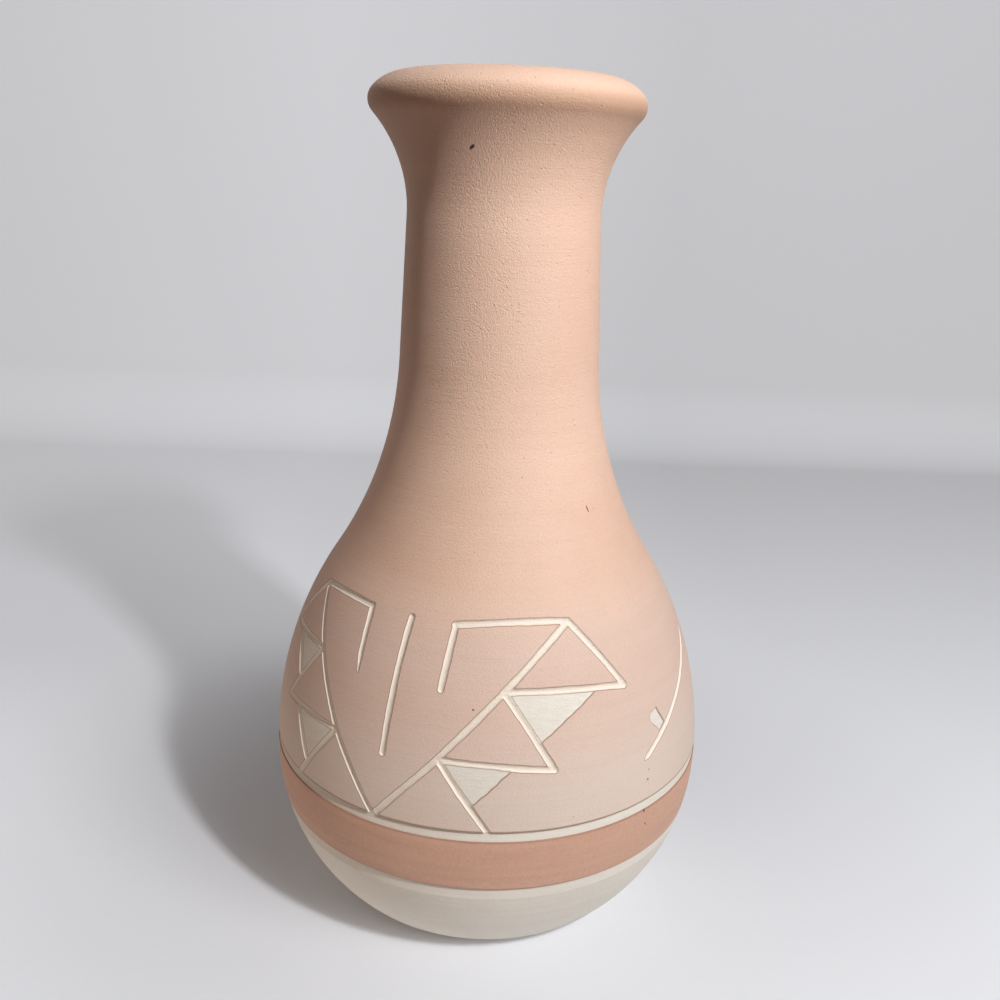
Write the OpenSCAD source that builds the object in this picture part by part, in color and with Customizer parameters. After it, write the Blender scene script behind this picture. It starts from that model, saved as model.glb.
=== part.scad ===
// Long-necked earthenware vase with a slip coat, a coloured band and incised line ornament.
// One profile of tangent arcs is turned about +Z. The slip coat and the band lie in the clay's
// outer face, and the ornament is cut through the slip down to the clay.
// The front of the vase faces -Y, and turns are degrees to the right of the front.

/* [Outline] */
// Height from the table to the top of the rim
vase_h = 203; // [190:1:225]
// Diameter across the widest part of the belly
belly_d = 111.5; // [104:0.5:120]
// Height of the widest part of the belly
belly_z = 38.7; // [36:0.1:46]
// Diameter of the foot where the wall would meet the table
foot_d = 77; // [66:1:86]
// Rounding of the foot's outer edge
foot_round = 2; // [0.6:0.1:2.5]
// Radius of the shoulder's curve above the belly
shoulder_r = 93; // [86:1:98]

/* [Neck] */
// Outer diameter at the lower end of the straight neck
neck_low_d = 48.6; // [46.2:0.2:52]
// Height of the lower end of the straight neck
neck_low_z = 139.5; // [134:0.5:148]
// Outer diameter at the upper end of the straight neck
neck_top_d = 45.6; // [42:0.2:47.6]
// Height of the upper end of the straight neck
neck_top_z = 172.5; // [164:0.5:178]

/* [Rim] */
// Outer diameter of the rolled rim
rim_d = 63.5; // [60:0.5:70]
// Distance from the top of the rim down to its widest line
rim_drop = 5.7; // [4.4:0.1:6.6]
// Radius of the rim's outer edge
rim_edge_r = 3.8; // [3:0.1:4.4]
// Radius of the rim's flat-domed top
rim_top_r = 9.5; // [7:0.5:14]
// Radius of the roll into the mouth
mouth_roll_r = 4; // [3:0.1:5]

/* [Wall] */
// Thickness of the fired wall, with its coats
wall_t = 5; // [4:0.25:6]
// Height of the inside floor above the table
floor_z = 8; // [6:0.5:12]
// Radius of the round corner between floor and wall
floor_round = 9; // [5:0.5:14]
// Diameter of the hollow trimmed under the foot
recess_d = 54; // [40:1:56]
// Depth of the hollow trimmed under the foot
recess_h = 2; // [1:0.25:3.5]

/* [Coats] */
// Thickness of the slip coat and of the band
slip_t = 0.8; // [0.5:0.1:1.2]
// Thickness of the clear glaze inside
glaze_t = 0.4; // [0.3:0.1:0.7]
// Depth inside the mouth where the slip ends and the glaze begins
glaze_depth = 12; // [9:0.5:18]
// Height of the slip's lower edge above the widest part of the belly
slip_rise = 4.6; // [4.2:0.1:8]
// Width of the bare ring between slip and band
ring_w = 2.4; // [1.5:0.1:3.5]
// Depth of the bare ring's groove below the coats
ring_deep = 0.5; // [0.2:0.1:1]
// Height of the coloured band
band_w = 13.4; // [9:0.1:17]
// Width of the bevel between band and bare foot
bevel_w = 3; // [1.5:0.1:5]
// Depth of the bevel's upper edge below the band's bed
bevel_deep = 0.3; // [0.1:0.1:0.8]

/* [Ornament] */
// Width of an incised line
line_w = 1.5; // [1:0.1:2]
// Number of times the ornament goes round the vase
motif_count = 2; // [1:1:2]
// Turn of the ornament's middle line from the front
motif_turn = -26.4; // [-40:0.2:-10]
// Width of the left wing at the slip's edge, as a share of the right one
left_low_share = 0.95; // [0.85:0.01:1]
// Width of the left wing at its top line, as a share of the right one
left_top_share = 0.81; // [0.75:0.01:1]
// Height of the top line above the slip's edge
top_rise = 43.5; // [38:0.5:45]
// Height of the upper row of points above the slip's edge
upper_rise = 30.5; // [26:0.1:33]
// Height of the lower row of points above the slip's edge
lower_rise = 15.9; // [12:0.1:18]
// Drop of a tip below the fork in its row
tip_drop = 2; // [0:0.1:3]
// Turn of the wing's inner top corner from the middle line
brow_turn = 16; // [12:0.5:20]
// Turn of the hook's lower end from the middle line
hook_turn = 14; // [10:0.5:18]
// Turn of the wing's peak from the middle line
peak_turn = 50.5; // [46:0.5:56]
// Turn of the upper fork from the middle line
upper_fork_turn = 30.5; // [27:0.1:34]
// Turn of the upper tip from the middle line
upper_tip_turn = 65; // [60:0.5:70]
// Turn of the lower fork from the middle line
lower_fork_turn = 15; // [12:0.5:18]
// Turn of the lower tip from the middle line
lower_tip_turn = 43; // [38:0.5:48]
// Turn of the rib's foot on the ring from the middle line
rib_turn = 28.4; // [24:0.1:32]
// Turn of the upright bar's top from the middle line
bar_top_turn = 2; // [-4:0.5:6]
// Turn of the upright bar's lower end from the middle line
bar_end_turn = 1; // [-4:0.5:6]
// Length of the upper scraped triangle along its top line, as a share of that line
upper_scrape_along = 0.73; // [0.5:0.01:0.8]
// Length of the upper scraped triangle down its side line, as a share of that line
upper_scrape_down = 0.67; // [0.45:0.01:0.75]
// Length of the lower scraped triangle along its top line, as a share of that line
lower_scrape_along = 0.65; // [0.5:0.01:0.8]
// Length of the lower scraped triangle down its side line, as a share of that line
lower_scrape_down = 0.6; // [0.45:0.01:0.75]
// Turn of the side stroke's upper end from the middle line
side_top_turn = 108; // [104:0.5:112]
// Height of the side stroke's upper end above the slip's edge
side_top_rise = 30.8; // [27:0.1:34]
// Turn of the side stroke's lower end from the middle line
side_end_turn = 69; // [66:0.5:74]
// Height of the side stroke's lower end above the slip's edge
side_end_rise = 10.2; // [7:0.1:13]
// Place of the small scraped patch, as a share of the side stroke from its lower end
patch_at = 0.18; // [0.1:0.01:0.6]
// Width of the small scraped patch along the side stroke
patch_w = 3.2; // [2.5:0.1:6]
// Height of the small scraped patch above the side stroke
patch_h = 4.8; // [3:0.1:7]
// Turn by which the small scraped patch leans back
patch_lean = 3; // [0:0.5:6]

/* [Hidden] */

// Largest distance between a chord and its arc
arc_dev = 0.04;
turn_faces = 120;
end_faces = 8;

// Arcs as centre, radius and angles. Neck and flare curve inwards, so their centres lie outside.
belly_c_r = belly_d / 2 - ((belly_d - foot_d) ^ 2 / 4 + belly_z ^ 2) / (belly_d - foot_d);
belly_r = belly_d / 2 - belly_c_r;
belly_c = [belly_c_r, belly_z];
shoulder_c = [belly_d / 2 - shoulder_r, belly_z];

taper = atan((neck_low_d - neck_top_d) / 2 / (neck_top_z - neck_low_z));
neck_n = [cos(taper), sin(taper)];
neck_low = [neck_low_d / 2, neck_low_z];
neck_top = [neck_top_d / 2, neck_top_z];

neck_r = blend_r(neck_low - shoulder_c, shoulder_r);
neck_c = neck_low + neck_r * neck_n;
join_a = angle_of(neck_c - shoulder_c);

rim_edge_c = [rim_d / 2 - rim_edge_r, vase_h - rim_drop];
flare_r = blend_r(neck_top - rim_edge_c, rim_edge_r);
flare_c = neck_top + flare_r * neck_n;
flare_a = angle_of(rim_edge_c - flare_c);

rim_top_z = vase_h - rim_top_r;
rim_top_lift = rim_edge_c.y - rim_top_z;
rim_top_c = [rim_edge_c.x - sqrt((rim_top_r - rim_edge_r) ^ 2 - rim_top_lift ^ 2), rim_top_z];
rim_top_a = angle_of(rim_edge_c - rim_top_c);

// The inner face runs from the roll down the throat, parallel to the outside from there on.
roll_c = [rim_top_c.x, vase_h - mouth_roll_r];
throat = neck_top - wall_t * neck_n;
mouth_r = within_r(throat - roll_c, mouth_roll_r);
mouth_c = throat + mouth_r * neck_n;
roll_a = angle_of(roll_c - mouth_c);
glaze_a = 180 - asin((vase_h - glaze_depth - mouth_c.y) / mouth_r);

foot_c_z = foot_round;
foot_c = [belly_c.x + sqrt((belly_r - foot_round) ^ 2 - (belly_z - foot_c_z) ^ 2), foot_c_z];
foot_a = angle_of(foot_c - belly_c);

floor_c_z = floor_z + floor_round;
floor_arm = belly_r - wall_t - floor_round;
floor_c = [belly_c.x + sqrt(floor_arm ^ 2 - (belly_z - floor_c_z) ^ 2), floor_c_z];
floor_a = angle_of(floor_c - belly_c);

// Edges of the coats as heights, then as angles on the arcs that they lie on
slip_z = belly_z + slip_rise;
band_top_z = slip_z - ring_w;
band_low_z = band_top_z - band_w;
base_z = band_low_z - bevel_w;
slip_a = asin((slip_z - belly_z) / shoulder_r);
band_top_a = asin((band_top_z - belly_z) / shoulder_r);
band_low_a = asin((band_low_z - belly_z) / belly_r);
base_a = asin((base_z - belly_z) / belly_r);

// Points of the right wing as turn from the middle line and rise above the slip's edge
brow = [brow_turn, top_rise];
hook = [hook_turn, upper_rise];
peak = [peak_turn, top_rise];
upper_fork = [upper_fork_turn, upper_rise];
upper_tip = [upper_tip_turn, upper_rise - tip_drop];
lower_fork = [lower_fork_turn, lower_rise];
lower_tip = [lower_tip_turn, lower_rise - tip_drop];
rib_foot = [rib_turn, -line_w];
root = [0, -line_w];
bar_top = [bar_top_turn, top_rise];
bar_end = [bar_end_turn, lower_rise];
side_top = [side_top_turn, side_top_rise];
side_end = [side_end_turn, side_end_rise];

function angle_of(v) = atan2(v.y, v.x);

// Radius of an inward curve that starts along the neck's line and touches a circle from outside.
// The arm runs from the circle's centre to the point where the curve starts.
function blend_r(arm, circle_r) = (arm * arm - circle_r ^ 2) / (2 * (circle_r - arm * neck_n));

// Radius of the curve that starts along the neck's line and holds a circle touching it inside
function within_r(arm, circle_r) = (circle_r ^ 2 - arm * arm) / (2 * (arm * neck_n + circle_r));

function unit_at(a) = [cos(a), sin(a)];

function on_arc(c, r, a) = c + r * unit_at(a);

function arc_steps(r, a0, a1) = max(1, ceil(abs(a1 - a0) / (2 * acos(1 - arc_dev / r))));

// Points of an arc without its first one, where the line before it has already arrived
function arc(c, r, a0, a1) =
    let (n = arc_steps(r, a0, a1))
    [for (i = [1:n]) on_arc(c, r, a0 + (a1 - a0) * i / n)];

function reversed(pts) = [for (i = [len(pts) - 1:-1:0]) pts[i]];

// Slip face at a depth below the finished surface, from its lower edge over the rim into the mouth
function slip_face(t) = concat(
    [on_arc(shoulder_c, shoulder_r - t, slip_a)],
    arc(shoulder_c, shoulder_r - t, slip_a, join_a),
    arc(neck_c, neck_r + t, 180 + join_a, 180 + taper),
    [neck_top - t * neck_n],
    arc(flare_c, flare_r + t, 180 + taper, flare_a),
    arc(rim_edge_c, rim_edge_r - t, flare_a - 180, rim_top_a),
    arc(rim_top_c, rim_top_r - t, rim_top_a, 90),
    arc(roll_c, mouth_roll_r - t, 90, roll_a),
    arc(mouth_c, mouth_r - t, roll_a, glaze_a)
);

// Band face at a depth below the finished surface, from its lower edge up
function band_face(t) = concat(
    [on_arc(belly_c, belly_r - t, band_low_a)],
    arc(belly_c, belly_r - t, band_low_a, 0),
    arc(shoulder_c, shoulder_r - t, 0, band_top_a)
);

// Inside face at a depth below the finished surface, from the slip's end down to the floor
function inside_face(t) = concat(
    [on_arc(mouth_c, mouth_r - t, glaze_a)],
    arc(mouth_c, mouth_r - t, glaze_a, 180 + taper),
    [on_arc(neck_c, neck_r + wall_t - t, 180 + taper)],
    arc(neck_c, neck_r + wall_t - t, 180 + taper, 180 + join_a),
    arc(shoulder_c, shoulder_r - wall_t + t, join_a, 0),
    arc(belly_c, belly_r - wall_t + t, 0, floor_a),
    arc(floor_c, floor_round + t, floor_a, -90),
    [[0, floor_z - t]]
);

// Bare foot, from the hollow underneath round the edge and up to the bevel
function foot_face() = concat(
    [[0, recess_h], [recess_d / 2 - recess_h, recess_h], [recess_d / 2, 0], [foot_c.x, 0]],
    arc(foot_c, foot_round, -90, foot_a),
    arc(belly_c, belly_r, foot_a, base_a),
    [on_arc(belly_c, belly_r - slip_t - bevel_deep, band_low_a)]
);

function ring_bed() = on_arc(shoulder_c, shoulder_r - slip_t - ring_deep, (slip_a + band_top_a) / 2);

// A point of the ornament on the finished shoulder, and the outward direction there
function spot_r(rise) = shoulder_c.x + sqrt(shoulder_r ^ 2 - (slip_rise + rise) ^ 2);
function spot(p) = [spot_r(p.y) * sin(p.x), -spot_r(p.y) * cos(p.x), slip_z + p.y];
function outward(p) =
    let (up = asin((slip_rise + p.y) / shoulder_r))
    [cos(up) * sin(p.x), -cos(up) * cos(p.x), sin(up)];

function unit(v) = v / norm(v);
function share(a, b, s) = a + (b - a) * s;

// Stands what follows on the shoulder: origin at o, +X along the line, +Z outwards
module stand(o, along, out) {
    x = unit(along);
    z = unit(out - (out * x) * x);
    y = cross(z, x);
    multmatrix([
        [x.x, y.x, z.x, o.x],
        [x.y, y.y, z.y, o.y],
        [x.z, y.z, z.z, o.z]
    ]) children();
}

// One end of an incised line at a distance along it: round, or square and drawn back into a joint
function line_end(at, is_round) = is_round
    ? [for (i = [0:end_faces]) at * [1, 0] + line_w / 2 * unit_at(-90 + 180 * i / end_faces)]
    : [[at - line_w / 4, -line_w / 2], [at - line_w / 4, line_w / 2]];

// Cutter for one incised line, deep enough for the slip along its whole chord
module stroke(a, b, start_round, end_round) {
    pa = spot(a);
    pb = spot(b);
    half = norm(pb - pa) / 2;
    mid = share(a, b, 0.5);
    bulge = norm(spot(mid) - (pa + pb) / 2);
    slot = concat(line_end(half, end_round), -line_end(half, start_round));
    stand((pa + pb) / 2, pb - pa, outward(mid))
        translate([0, 0, -line_w - slip_t])
            linear_extrude(bulge + 2 * line_w + slip_t)
                polygon(slot);
}

// Cutter for a scraped patch with straight edges between its corners
module scrape(corners) {
    middle = [for (c = corners) 1] * corners / len(corners);
    o = spot(middle);
    z = outward(middle);
    x = unit(cross([0, 0, 1], z));
    y = cross(z, x);
    flat = [for (c = corners) [(spot(c) - o) * x, (spot(c) - o) * y]];
    stand(o, x, z)
        translate([0, 0, -2 * line_w - slip_t])
            linear_extrude(4 * line_w + slip_t)
                polygon(flat);
}

// Incised line through several points. Each joint is rounded once, by the line that arrives there,
// and a line that runs out below the slip's edge ends square.
module path(points) {
    for (i = [1:len(points) - 1])
        stroke(points[i - 1], points[i], i == 1, points[i].y > 0);
}

// One wing: hooked top line, spine down to the ring, two tips and a rib, with a scraped corner
// under each row. It is mirrored with a sign of -1, and the shares give its width at the slip's
// edge and at the top line. An edged wing has a line along the free side of its scraped corners.
module wing(sign, low_share, top_share, edged) {
    function w(p) = [p.x * sign * share(low_share, top_share, p.y / top_rise), p.y];
    corners = [
        [upper_fork, upper_tip, lower_tip, upper_scrape_along, upper_scrape_down],
        [lower_fork, lower_tip, rib_foot, lower_scrape_along, lower_scrape_down]
    ];
    path([w(hook), w(brow), w(peak), w(upper_fork), w(lower_fork), w(root)]);
    stroke(w(peak), w(upper_tip), false, true);
    stroke(w(upper_tip), w(upper_fork), false, false);
    stroke(w(upper_fork), w(lower_tip), false, true);
    stroke(w(lower_tip), w(lower_fork), false, false);
    stroke(w(lower_fork), w(rib_foot), false, false);
    for (c = corners) {
        along = w(share(c[0], c[1], c[3]));
        down = w(share(c[0], c[2], c[4]));
        scrape([w(c[0]), along, down]);
        if (edged)
            stroke(along, down, false, false);
    }
}

// Lone stroke beside the right wing, with a small scraped patch that leans back from it
module side_stroke() {
    reach = norm(spot(side_top) - spot(side_end));
    near = share(side_end, side_top, patch_at);
    far = share(side_end, side_top, patch_at + patch_w / reach);
    lift = [-patch_lean, patch_h];
    path([side_top, side_end]);
    scrape([near, far, far + lift, near + lift]);
}

module motif() {
    path([bar_top, bar_end]);
    wing(1, 1, 1, false);
    wing(-1, left_low_share, left_top_share, true);
    side_stroke();
}

module turned(pts) {
    rotate_extrude($fn = turn_faces)
        polygon(pts);
}

// Cream earthenware pot that carries all the coats
module clay_body() {
    color("#e4dccf")
        turned(concat(
            foot_face(),
            band_face(slip_t),
            [ring_bed()],
            slip_face(slip_t),
            inside_face(glaze_t)
        ));
}

// Peach slip from the ring over shoulder, neck and rim, cut through by the ornament
module peach_slip() {
    color("#dcae94")
        difference() {
            turned(concat(slip_face(0), reversed(slip_face(slip_t))));
            for (i = [0:motif_count - 1])
                rotate([0, 0, motif_turn + 360 * i / motif_count])
                    motif();
        }
}

// Darker band between the bare ring and the bevel
module terracotta_band() {
    color("#bd8573")
        turned(concat(band_face(0), reversed(band_face(slip_t))));
}

// Clear glaze that makes the inside hold water
module inner_glaze() {
    color("#d8cdbd")
        turned(concat(inside_face(0), reversed(inside_face(glaze_t))));
}

clay_body();
peach_slip();
terracotta_band();
inner_glaze();
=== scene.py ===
"""Looks of a long-necked earthenware vase: bare clay, sprayed slip, a darker band and incised lines.

Run as a script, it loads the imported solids, lays finished surfaces over them in the same frame,
and sets a plain stage with the camera where the vase was seen from.
"""

import math
from types import SimpleNamespace

import bpy
import numpy as np
from bpy.props import FloatProperty, FloatVectorProperty, IntProperty, PointerProperty
from mathutils import Matrix, Vector
from mathutils.geometry import delaunay_2d_cdt


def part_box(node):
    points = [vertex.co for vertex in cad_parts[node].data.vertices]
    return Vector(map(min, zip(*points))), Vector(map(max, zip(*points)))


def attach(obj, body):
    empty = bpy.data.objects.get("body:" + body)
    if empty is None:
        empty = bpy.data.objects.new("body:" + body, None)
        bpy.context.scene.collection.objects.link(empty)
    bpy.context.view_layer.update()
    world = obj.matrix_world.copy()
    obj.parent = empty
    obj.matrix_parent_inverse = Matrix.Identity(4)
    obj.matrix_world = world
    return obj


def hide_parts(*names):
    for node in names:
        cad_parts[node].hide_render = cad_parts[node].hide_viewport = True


bl_info = {
    "name": "Incised slip vase",
    "version": (1, 0, 0),
    "blender": (4, 5, 0),
    "location": "View3D > Sidebar > Vase",
    "description": "Builds the finished surfaces of a slip-coated vase over its solids",
    "category": "Object",
}

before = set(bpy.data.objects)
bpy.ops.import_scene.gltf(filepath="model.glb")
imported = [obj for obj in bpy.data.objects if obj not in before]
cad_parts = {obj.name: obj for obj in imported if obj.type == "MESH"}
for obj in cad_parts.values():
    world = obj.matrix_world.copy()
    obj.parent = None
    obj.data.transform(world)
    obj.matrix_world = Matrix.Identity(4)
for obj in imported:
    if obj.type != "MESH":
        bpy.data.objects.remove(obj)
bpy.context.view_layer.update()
MM = 0.001
BODY = "root"
# Distance that stands for anywhere away from the ornament
FAR_MM = 5.0
# Radius at which the shoulder is rolled out flat for its mesh
ROLL_MM = 50.0
# Point attributes that hold the distance from the edges of lines, patches and pinholes
GAPS = ("line_gap", "patch_gap", "pit_gap")


def linear(hex_colour):
    """sRGB hex to linear red, green, blue and alpha."""
    parts = np.array([int(hex_colour[i:i + 2], 16) for i in (1, 3, 5)]) / 255.0
    lin = np.where(parts <= 0.04045, parts / 12.92, ((parts + 0.055) / 1.055) ** 2.4)
    return (*map(float, lin), 1.0)


def length(name, text, mm):
    """A length property whose default is given in millimetres."""
    return FloatProperty(name=name, description=text, default=mm * MM, precision=5, unit="LENGTH")


def turn(name, text, degrees):
    """An angle property whose default is given in degrees."""
    return FloatProperty(name=name, description=text, default=math.radians(degrees), unit="ROTATION")


def colour(name, text, hex_colour):
    """A colour property whose default is given as an sRGB hex value."""
    return FloatVectorProperty(name=name, description=text, default=linear(hex_colour),
                               size=4, min=0.0, max=1.0, subtype="COLOR")


class VaseSizes(bpy.types.PropertyGroup):
    """Sizes of the turned form, as in the solids."""
    vase_h: length("Height", "Table to the top of the rim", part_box("peach_slip")[1].z / MM)
    belly_d: length("Belly", "Diameter of the widest part", 2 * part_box("terracotta_band")[1].x / MM)
    belly_z: length("Belly height", "Height of the widest part", 38.7)
    foot_d: length("Foot", "Diameter where the wall would meet the table", 77)
    foot_round: length("Foot rounding", "Rounding of the foot's outer edge", 0.7)
    foot_lift: length("Foot lift", "Height of the foot's outer edge over the table", 3.3)
    stand_d: length("Stand", "Diameter of the ring that touches the table, inside the undercut", 73)
    shoulder_r: length("Shoulder radius", "Radius of the shoulder's curve", 93)
    neck_low_d: length("Neck, low", "Diameter at the lower end of the straight neck", 48.6)
    neck_low_z: length("Neck, low height", "Height of the lower end of the straight neck", 139.5)
    neck_top_d: length("Neck, top", "Diameter at the upper end of the straight neck", 45.6)
    neck_top_z: length("Neck, top height", "Height of the upper end of the straight neck", 172.5)
    rim_d: length("Rim", "Diameter of the rolled rim", 63.5)
    rim_drop: length("Rim drop", "Top of the rim down to its widest line", 5.7)
    rim_edge_r: length("Rim edge", "Radius of the rim's outer edge", 3.8)
    rim_top_r: length("Rim top", "Radius of the rim's domed top", 9.5)
    mouth_roll_r: length("Mouth roll", "Radius of the roll into the mouth", 4)
    wall_t: length("Wall", "Thickness of the fired wall with its coats", 5)
    floor_z: length("Inside floor", "Height of the inside floor", 8)
    floor_round: length("Floor corner", "Radius between inside floor and wall", 9)
    recess_d: length("Recess", "Diameter of the hollow under the foot", 54)
    recess_h: length("Recess depth", "Depth of the hollow under the foot", 2)
    slip_t: length("Slip", "Thickness of the slip coat and the band", 0.8)
    glaze_t: length("Glaze", "Thickness of the glaze inside", 0.4)
    glaze_depth: length("Glaze edge", "Depth in the mouth where the glaze begins", 12)
    slip_rise: length("Slip edge", "Slip's lower edge above the widest part", 4.6)
    ring_w: length("Ring", "Width of the bare ring", 2.4)
    ring_lip: length("Ring lip", "Depth of the ring at the band's upper edge", 0.22)
    ring_deep: length("Ring depth", "Depth of the ring under the slip's lower edge", 0.5)
    band_w: length("Band", "Height of the coloured band", 13.4)
    bevel_w: length("Bevel", "Width of the bevel under the band", 3)
    bevel_step: length("Bevel step", "Step from the band's lower edge down to the bevel", 0.5)


class VaseOrnament(bpy.types.PropertyGroup):
    """How the ornament is cut through the slip."""
    line_w: length("Line width", "Width of an incised line", 1.5)
    line_deep: length("Line depth", "Depth of an incised line", 0.46)
    scrape_deep: length("Scrape depth", "Depth of a scraped patch", 0.26)
    pit_deep: length("Pit depth", "Depth of a pinhole", 0.5)
    speck_turn: turn("Speck turn", "Turn of the dark speck on the neck from the front", -16.1)
    speck_z: length("Speck height", "Height of the dark speck on the neck", 186.9)
    scratch_turn: turn("Scratch turn", "Turn of the hairline on the shoulder from the front", 44.6)
    scratch_z: length("Scratch height", "Height of the hairline on the shoulder", 108.3)
    motif_turn: turn("Motif turn", "Turn of the ornament's middle line from the front", -26.4)
    seam_turn: turn("Seam", "Turn of the coat's plain side from the ornament's middle line", 118)
    motif_count: IntProperty(name="Motifs", description="Times the ornament goes round",
                             default=2, min=1, max=2)
    columns: IntProperty(name="Columns", description="Mesh columns round the coat", default=440, min=120)
    step: length("Mesh step", "Grid on which the edges of the ornament are found", 0.22)
    loose: length("Loose step", "Distance between mesh points on plain slip", 0.85)


class VaseColours(bpy.types.PropertyGroup):
    """Colours of the fired surfaces and of the stage."""
    slip_neck: colour("Slip, neck", "Peach slip of neck and rim", "#edc7b0")
    slip_shoulder: colour("Slip, shoulder", "Peach slip on the shoulder", "#e1bca6")
    slip_rose: colour("Slip, rose", "Rose tint sprayed over the ornament", "#ddc0b0")
    slip_edge: colour("Slip, edge", "Beige where the spray thins out over the ring", "#e1cec0")
    clay: colour("Clay", "Fired cream clay of foot and ring", "#e5ded3")
    clay_cut: colour("Clay, cut", "Clean clay in an incised line", "#efe3d5")
    clay_scraped: colour("Clay, scraped", "Pale clay of a scraped patch", "#e9e2d7")
    # Painted shade under the rim's edge, where the rim shades the flare
    under_rim_shade: colour("Shade under rim", "Deeper tone of the slip that ran together under the rim's edge", "#e7ded4")
    # Painted shade along the edges of the cuts and over the ring, in open pores and at the band's edges
    painted_shade: colour("Painted shade", "Slip dust along the edges of the cuts", "#a0826f")
    pinhole: colour("Pinhole", "Dark bottom of a pinhole or speck in the slip", "#34190f")
    band: colour("Band", "Terracotta slip of the band", "#d1a68f")
    glaze: colour("Glaze", "Clay seen through the clear glaze", "#d8cdbd")
    paper: colour("Paper", "Pale paper of floor and backdrop", "#e3e5ea")
    paper_dim: colour("Paper, dim", "What the dim room round the sheet throws back", "#5e4433")
    fill: colour("Fill light", "Warm light that the room sends from the left", "#ffe4cc")


class VaseStage(bpy.types.PropertyGroup):
    """Camera and lights."""
    camera_back: length("Camera distance", "From the vase's axis to the camera", 244.35)
    camera_up: length("Camera height", "Above the table", 178.04)
    camera_pitch: turn("Pitch", "How far the camera looks down", 17.08)
    camera_yaw: turn("Yaw", "How far the camera looks to the right", 0.33)
    camera_roll: turn("Roll", "How far the camera leans", 2.01)
    lens: FloatProperty(name="Lens", description="Focal length in mm on a 36 mm sensor", default=36.0)
    key: FloatProperty(name="Key", description="Small near light as a share of full light", default=0.66)
    soft: FloatProperty(name="Soft", description="Soft light from the right as a share", default=0.385)
    top: FloatProperty(name="Top", description="Top light as a share of full light", default=0.06)
    left: FloatProperty(name="Left", description="Soft light from the left as a share", default=0.085)
    card: FloatProperty(name="Card", description="Low card with a grid at the foot's left as a share",
                        default=0.42)


def unit(v):
    """Vectors along the last axis, scaled to length 1."""
    return v / np.linalg.norm(v, axis=-1, keepdims=True)


def angle_of(v):
    """Angle of a plane vector from the first axis."""
    return math.atan2(v[1], v[0])


def smooth(x, low, high):
    """0 below low, 1 above high and an S-shaped cubic between them. Low may be the larger one."""
    t = np.clip((x - low) / (high - low), 0, 1)
    return t * t * (3 - 2 * t)


def arc(c, r, a0, a1, side=1):
    """Points c + r (cos a, sin a) of an arc, at most 0.1 mm apart, with their normals, which point away
    from c for side 1."""
    a = np.linspace(a0, a1, max(3, math.ceil(abs(a1 - a0) * r / 0.1)))
    u = np.stack([np.cos(a), np.sin(a)], -1)
    return np.asarray(c) + r * u, side * u


def line(p, q):
    """Points of a straight run, at most 0.5 mm apart, with the normal to its right."""
    p, q = np.asarray(p, float), np.asarray(q, float)
    t = np.linspace(0, 1, max(2, math.ceil(np.linalg.norm(q - p) / 0.5)))[:, None]
    d = unit(q - p)
    return p + t * (q - p), np.repeat([[d[1], -d[0]]], len(t), 0)


def joined(*runs):
    """One table of runs end to end: length along them, radius, height and the normal's two parts."""
    pts = np.concatenate([r[0] for r in runs])
    nor = np.concatenate([r[1] for r in runs])
    s = np.concatenate([[0.0], np.cumsum(np.linalg.norm(np.diff(pts, axis=0), axis=1))])
    return np.column_stack([s, pts, nor])


def at(table, s):
    """Radius and height, and normal, at lengths s along a table."""
    cols = np.stack([np.interp(s, table[:, 0], table[:, k]) for k in (1, 2, 3, 4)], -1)
    return cols[..., :2], unit(cols[..., 2:])


def lowered(table, rows, thick):
    """Points evenly along a table, lowered by a coat's thickness."""
    points, normals = at(table, np.linspace(0, table[-1, 0], rows))
    return points - thick * normals


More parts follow.
